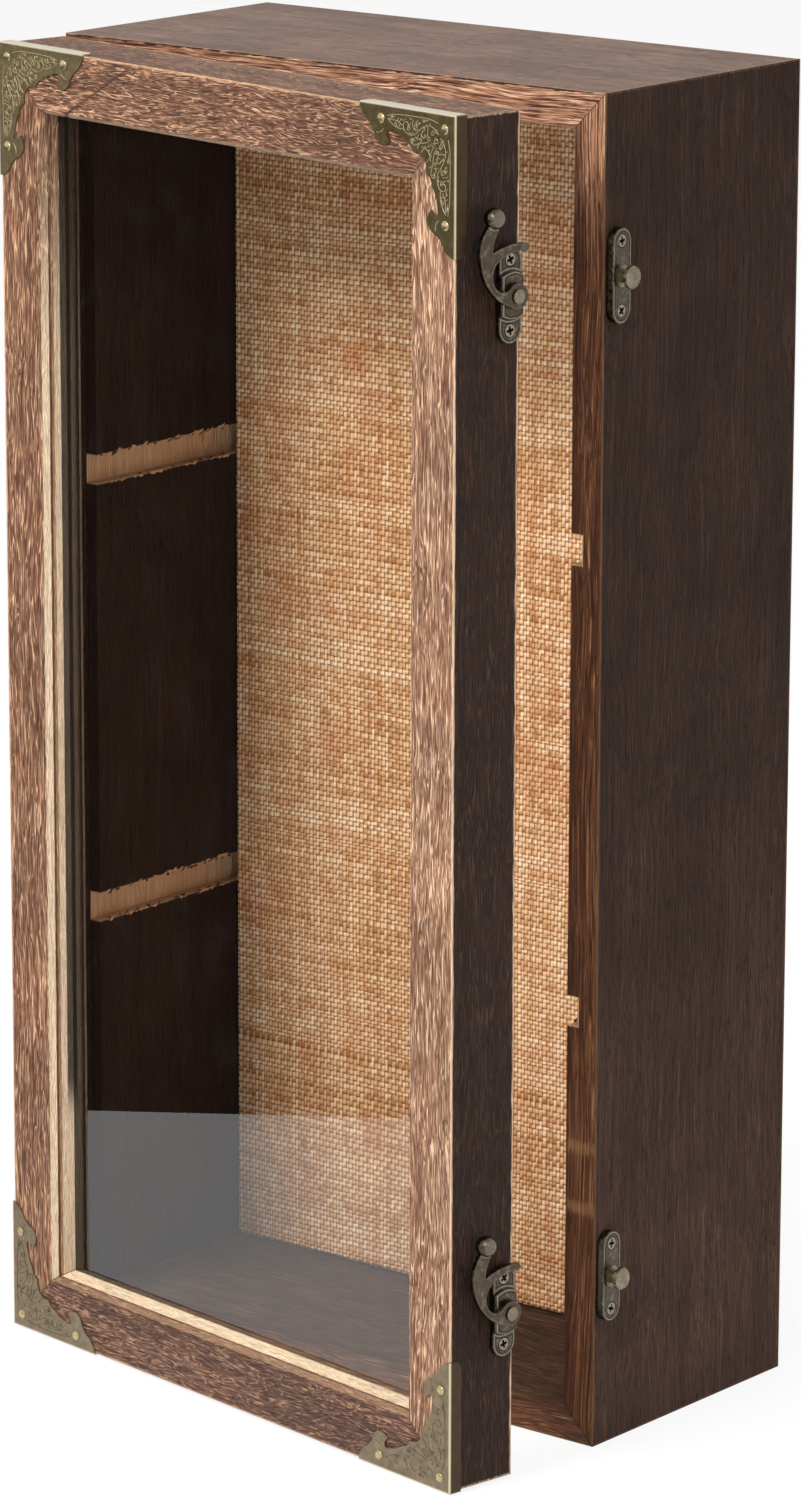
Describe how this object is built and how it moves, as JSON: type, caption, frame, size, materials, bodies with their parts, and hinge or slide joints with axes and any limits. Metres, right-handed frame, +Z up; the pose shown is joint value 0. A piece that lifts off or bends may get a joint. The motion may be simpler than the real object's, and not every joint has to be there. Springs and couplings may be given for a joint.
{
  "type": "glazed display case",
  "caption": "Tall narrow wooden display case with a hinged glass door, bronze corner protectors, hook latches and a burlap-covered pin board at the back.",
  "frame": {"origin": "centre of the case's underside, on the surface it stands on", "axes": "+X to the case's right as its front is seen, +Y from the front to the back, +Z up. The front of the case faces -Y."},
  "size_m": [0.2136, 0.1532, 0.4],
  "materials": {
    "case_wood": "dark brown stain, worn golden on the front edges, matt",
    "door_wood": "reddish brown stain with light brushed grain, worn edges, satin",
    "bead_wood": "dark brown stain, matt",
    "back_panel": "thin fibreboard, matt",
    "soft_board": "soft pin board, raw",
    "burlap": "open plain-weave jute burlap",
    "clear_glass": "clear, polished",
    "engraved_bronze": "antique bronze sheet, engraved, rubbed edges",
    "brass_nails": "old brass, rubbed bright",
    "steel_brads": "plain steel",
    "screw_metal": "antique bronze, dull",
    "hinge_metal": "antique bronze, dull",
    "cast_bronze": "cast antique bronze, dark with rubbed edges"
  },
  "bodies": {
    "case": {"left_side_panel": "case_wood", "right_side_panel": "case_wood", "top_panel": "case_wood", "bottom_panel": "case_wood", "back_board": "back_panel", "back_board_nails": "steel_brads", "pin_board": "soft_board", "burlap_cover": "burlap", "catch_plate_screws": "screw_metal", "hinge_case_screws": "screw_metal", "upper_catch_plate": "cast_bronze", "upper_catch_stud": "cast_bronze", "upper_hinge_case_leaf": "hinge_metal", "upper_hinge_pin": "hinge_metal", "lower_catch_plate": "cast_bronze", "lower_catch_stud": "cast_bronze", "lower_hinge_case_leaf": "hinge_metal", "lower_hinge_pin": "hinge_metal"},
    "door": {"left_stile": "door_wood", "right_stile": "door_wood", "top_rail": "door_wood", "bottom_rail": "door_wood", "glass_pane": "clear_glass", "left_glazing_bead": "bead_wood", "right_glazing_bead": "bead_wood", "top_glazing_bead": "bead_wood", "bottom_glazing_bead": "bead_wood", "top_left_protector": "engraved_bronze", "top_right_protector": "engraved_bronze", "bottom_left_protector": "engraved_bronze", "bottom_right_protector": "engraved_bronze", "corner_nails": "brass_nails", "latch_plate_screws": "screw_metal", "hinge_door_screws": "screw_metal", "upper_latch_plate": "cast_bronze", "upper_latch_rivet": "cast_bronze", "upper_hinge_door_leaf": "hinge_metal", "lower_latch_plate": "cast_bronze", "lower_latch_rivet": "cast_bronze", "lower_hinge_door_leaf": "hinge_metal"},
    "upper_hook": {"upper_hook": "cast_bronze"},
    "lower_hook": {"lower_hook": "cast_bronze"}
  },
  "joints": [
    {"name": "door_hinge", "type": "hinge", "parent": "case", "child": "door", "pos_m": [-0.10335, -0.047, 0.2], "axis": [0, 0, -1], "range_deg": [-9.8, 170.2]},
    {"name": "upper_hook_pivot", "type": "hinge", "parent": "door", "child": "upper_hook", "pos_m": [0.10117, -0.08705, 0.348], "axis": [0.9854, -0.1702, 0], "range_deg": [-125, 140]},
    {"name": "lower_hook_pivot", "type": "hinge", "parent": "door", "child": "lower_hook", "pos_m": [0.10117, -0.08705, 0.052], "axis": [0.9854, -0.1702, 0], "range_deg": [-125, 140]}
  ]
}
